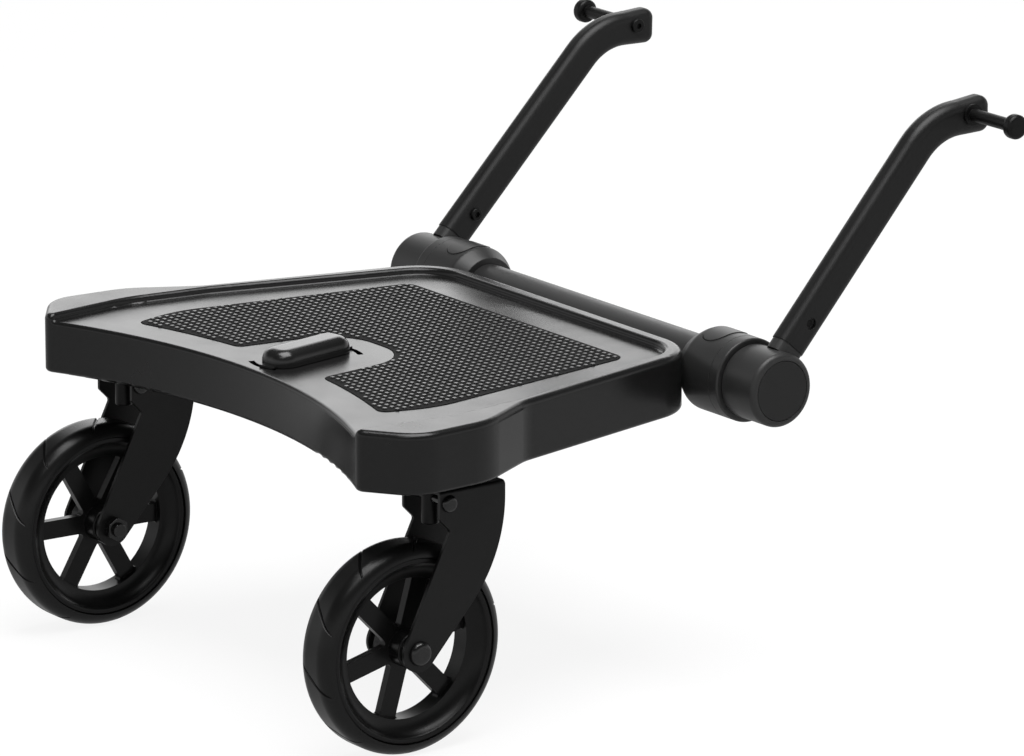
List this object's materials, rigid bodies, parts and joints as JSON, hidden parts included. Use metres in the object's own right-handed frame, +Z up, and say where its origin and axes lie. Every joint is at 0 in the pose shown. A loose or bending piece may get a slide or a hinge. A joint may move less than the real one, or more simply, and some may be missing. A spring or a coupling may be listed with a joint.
{
  "type": "buggy board",
  "caption": "Stand-on board for a pushchair: moulded deck with a grip mat and turn knob, swivel casters at the rear, and hinged arms with mushroom studs on a cross tube.",
  "frame": {"origin": "on the floor under the middle of the whole board's box", "axes": "+X to the board's right, +Y ahead towards the pushchair, +Z up"},
  "size_m": [0.5138, 0.5634, 0.3864],
  "materials": {
    "deck_plastic": "satin, fine grain",
    "frame_plastic": "matt",
    "mat_rubber": "matt, dotted",
    "knob_plastic": "semi-gloss",
    "hub_plastic": "satin",
    "black_tube": "satin powder coat",
    "fork_steel": "matt powder coat",
    "black_fastener": "black oxide",
    "bright_steel": "zinc plated",
    "bush_nylon": "natural nylon",
    "rim_plastic": "satin",
    "tyre": "satin rubber"
  },
  "bodies": {
    "board": {"deck_tray": "deck_plastic", "under_frame": "frame_plastic", "grip_mat": "mat_rubber", "frame_screws": "bright_steel", "cross_tube": "black_tube", "tube_bolts": "black_fastener", "tube_nuts": "bright_steel", "sleeve_screws": "black_fastener", "right_hub_sleeve": "hub_plastic", "right_sleeve_ring": "hub_plastic", "right_caster_bush": "bush_nylon", "right_button_spring": "bright_steel", "left_hub_sleeve": "hub_plastic", "left_sleeve_ring": "hub_plastic", "left_caster_bush": "bush_nylon", "left_button_spring": "bright_steel"},
    "knob": {"turn_knob": "knob_plastic", "knob_pivot": "bright_steel"},
    "lock_bar": {"lock_bar": "bright_steel"},
    "right_telescope": {"right_inner_tube": "bright_steel", "right_tube_plug": "frame_plastic", "right_pivot_bolt": "bright_steel"},
    "right_arm": {"right_arm_drum": "hub_plastic", "right_end_cap": "hub_plastic", "right_arm_tube": "black_tube", "right_arm_screw": "black_fastener", "right_stud": "black_fastener", "right_stud_screw": "black_fastener"},
    "right_button": {"right_hub_button": "hub_plastic"},
    "right_caster": {"right_fork": "fork_steel", "right_swivel_stem": "black_fastener", "right_fork_rivet": "black_fastener", "right_stem_retainer": "bright_steel", "right_axle_bolt": "black_fastener", "right_axle_nut": "black_fastener", "right_axle_spacers": "bush_nylon"},
    "right_wheel": {"right_tyre": "tyre", "right_wheel_rim": "rim_plastic", "right_wheel_bushes": "bush_nylon"},
    "left_telescope": {"left_inner_tube": "bright_steel", "left_tube_plug": "frame_plastic", "left_pivot_bolt": "bright_steel"},
    "left_arm": {"left_arm_drum": "hub_plastic", "left_end_cap": "hub_plastic", "left_arm_tube": "black_tube", "left_arm_screw": "black_fastener", "left_stud": "black_fastener", "left_stud_screw": "black_fastener"},
    "left_button": {"left_hub_button": "hub_plastic"},
    "left_caster": {"left_fork": "fork_steel", "left_swivel_stem": "black_fastener", "left_fork_rivet": "black_fastener", "left_stem_retainer": "bright_steel", "left_axle_bolt": "black_fastener", "left_axle_nut": "black_fastener", "left_axle_spacers": "bush_nylon"},
    "left_wheel": {"left_tyre": "tyre", "left_wheel_rim": "rim_plastic", "left_wheel_bushes": "bush_nylon"}
  },
  "joints": [
    {"name": "right_width_slide", "type": "slide", "parent": "board", "child": "right_telescope", "axis": [1, 0, 0], "range_m": [0, 0.04]},
    {"name": "right_arm_swing", "type": "hinge", "parent": "right_telescope", "child": "right_arm", "pos_m": [0.19755, 0.08681, 0.2073], "axis": [1, 0, 0], "range_deg": [-40, 80]},
    {"name": "right_button_press", "type": "slide", "parent": "board", "child": "right_button", "axis": [0, 0, -1], "range_m": [0, 0.002], "stiffness_N_per_m": 900, "springref_m": -0.004, "deforming": ["right_button_spring"]},
    {"name": "right_caster_swivel", "type": "hinge", "parent": "board", "child": "right_caster", "pos_m": [0.186, -0.18519, 0.19], "axis": [0, 0, 1], "continuous": true},
    {"name": "right_wheel_spin", "type": "hinge", "parent": "right_caster", "child": "right_wheel", "pos_m": [0.186, -0.20919, 0.0725], "axis": [1, 0, 0], "continuous": true},
    {"name": "left_width_slide", "type": "slide", "parent": "board", "child": "left_telescope", "axis": [-1, 0, 0], "range_m": [0, 0.04]},
    {"name": "left_arm_swing", "type": "hinge", "parent": "left_telescope", "child": "left_arm", "pos_m": [-0.19755, 0.08681, 0.2073], "axis": [1, 0, 0], "range_deg": [-40, 80]},
    {"name": "left_button_press", "type": "slide", "parent": "board", "child": "left_button", "axis": [0, 0, -1], "range_m": [0, 0.002], "stiffness_N_per_m": 900, "springref_m": -0.004, "deforming": ["left_button_spring"]},
    {"name": "left_caster_swivel", "type": "hinge", "parent": "board", "child": "left_caster", "pos_m": [-0.186, -0.18519, 0.19], "axis": [0, 0, 1], "continuous": true},
    {"name": "left_wheel_spin", "type": "hinge", "parent": "left_caster", "child": "left_wheel", "pos_m": [-0.186, -0.20919, 0.0725], "axis": [1, 0, 0], "continuous": true},
    {"name": "knob_turn", "type": "hinge", "parent": "board", "child": "knob", "pos_m": [0, -0.15719, 0.2225], "axis": [0, 0, 1], "range_deg": [-22.05, 0]},
    {"name": "lock_bar_slide", "type": "slide", "parent": "board", "child": "lock_bar", "axis": [1, 0, 0], "range_m": [-0.0145, 0]}
  ],
  "couplings": [
    {"joint": "knob_turn", "follows": "lock_bar_slide", "rad_per_m": 26.478}
  ]
}
